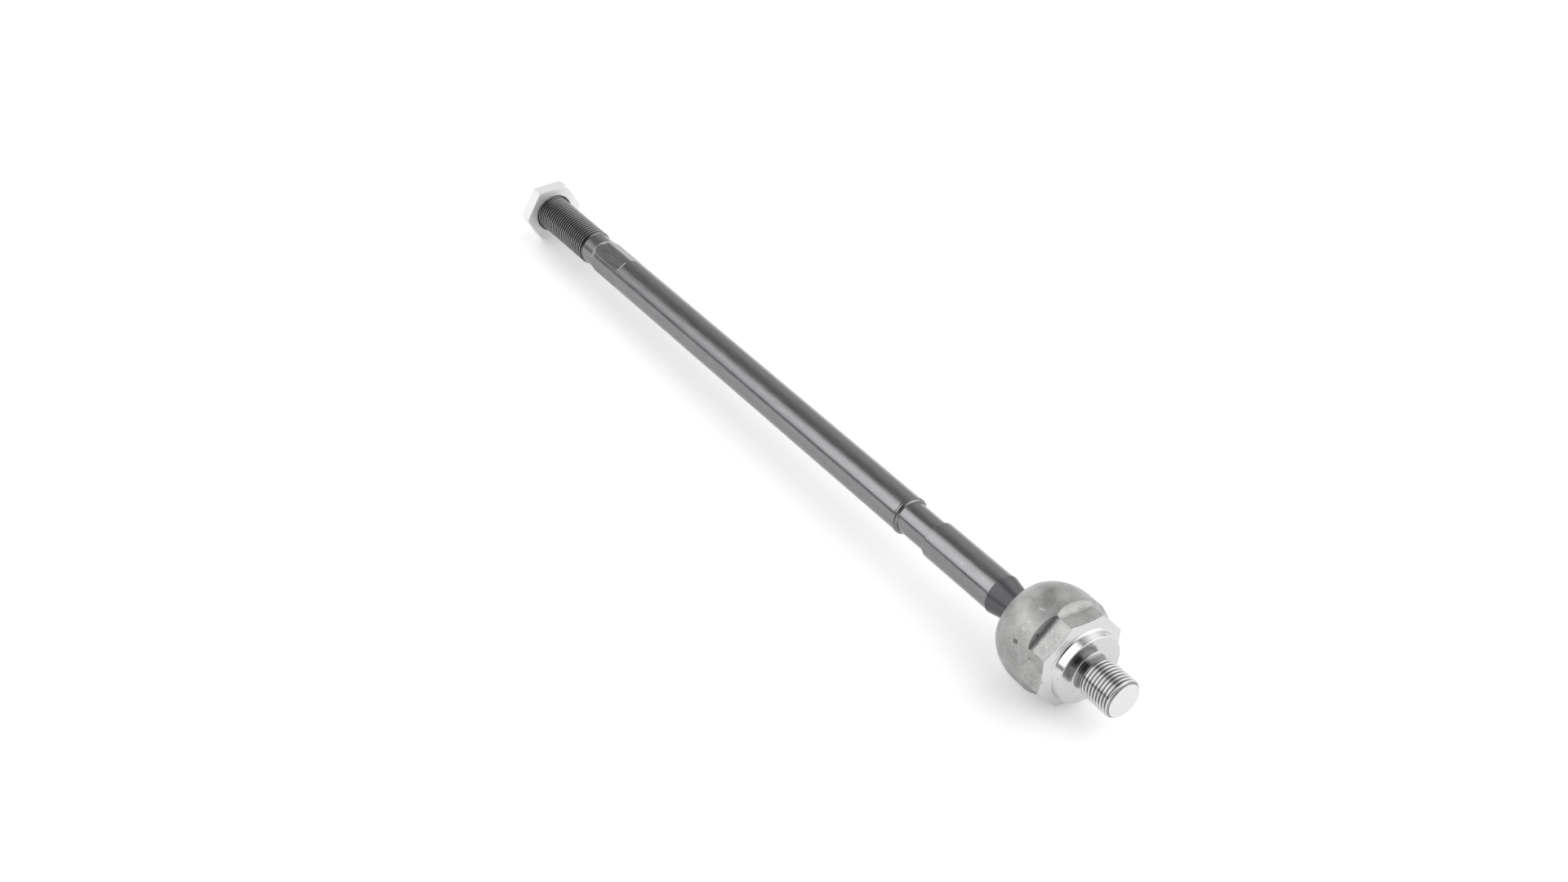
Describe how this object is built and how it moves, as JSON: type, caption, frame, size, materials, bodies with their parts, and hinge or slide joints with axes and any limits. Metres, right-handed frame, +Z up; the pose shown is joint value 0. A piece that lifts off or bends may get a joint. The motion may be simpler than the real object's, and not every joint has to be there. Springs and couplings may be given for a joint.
{
  "type": "inner tie rod",
  "caption": "Steering inner tie rod: a ball socket with wrench flats and a threaded stud, on a long rod with a boot groove, key flats, a threaded end and a jam nut.",
  "frame": {"origin": "on the stud's axis, where the stud's thread reaches its full diameter", "axes": "+X along the housing's axis and out of the stud, +Z up as the part rests on a level surface; the rod runs towards -X and droops 1.3 degrees, so that the bulb and a flat of the nut both touch the surface"},
  "size_m": [0.3976, 0.04, 0.0401],
  "materials": {
    "tumbled_steel": "forged and tumbled, turned at the front and the stud",
    "bearing_plastic": "moulded, greased",
    "coated_steel": "dark phosphate coat, burnished on the shaft",
    "zinc_steel": "bright zinc plate"
  },
  "bodies": {
    "housing": {"socket_housing": "tumbled_steel"},
    "seat": {"ball_seat": "bearing_plastic"},
    "rod": {"tie_rod": "coated_steel"},
    "nut": {"jam_nut": "zinc_steel"}
  },
  "joints": [
    {"name": "ball_turn", "type": "hinge", "parent": "housing", "child": "seat", "pos_m": [-0.02395, 0, 0], "axis": [1, 0, 0], "continuous": true},
    {"name": "ball_tilt", "type": "hinge", "parent": "seat", "child": "rod", "pos_m": [-0.02395, 0, 0], "axis": [0, 1, 0], "range_deg": [-23.7, 26.3]},
    {"name": "nut_travel", "type": "slide", "parent": "rod", "child": "nut", "axis": [0.9997, 0, 0.0226], "range_m": [-0.003, 0.0345]}
  ]
}
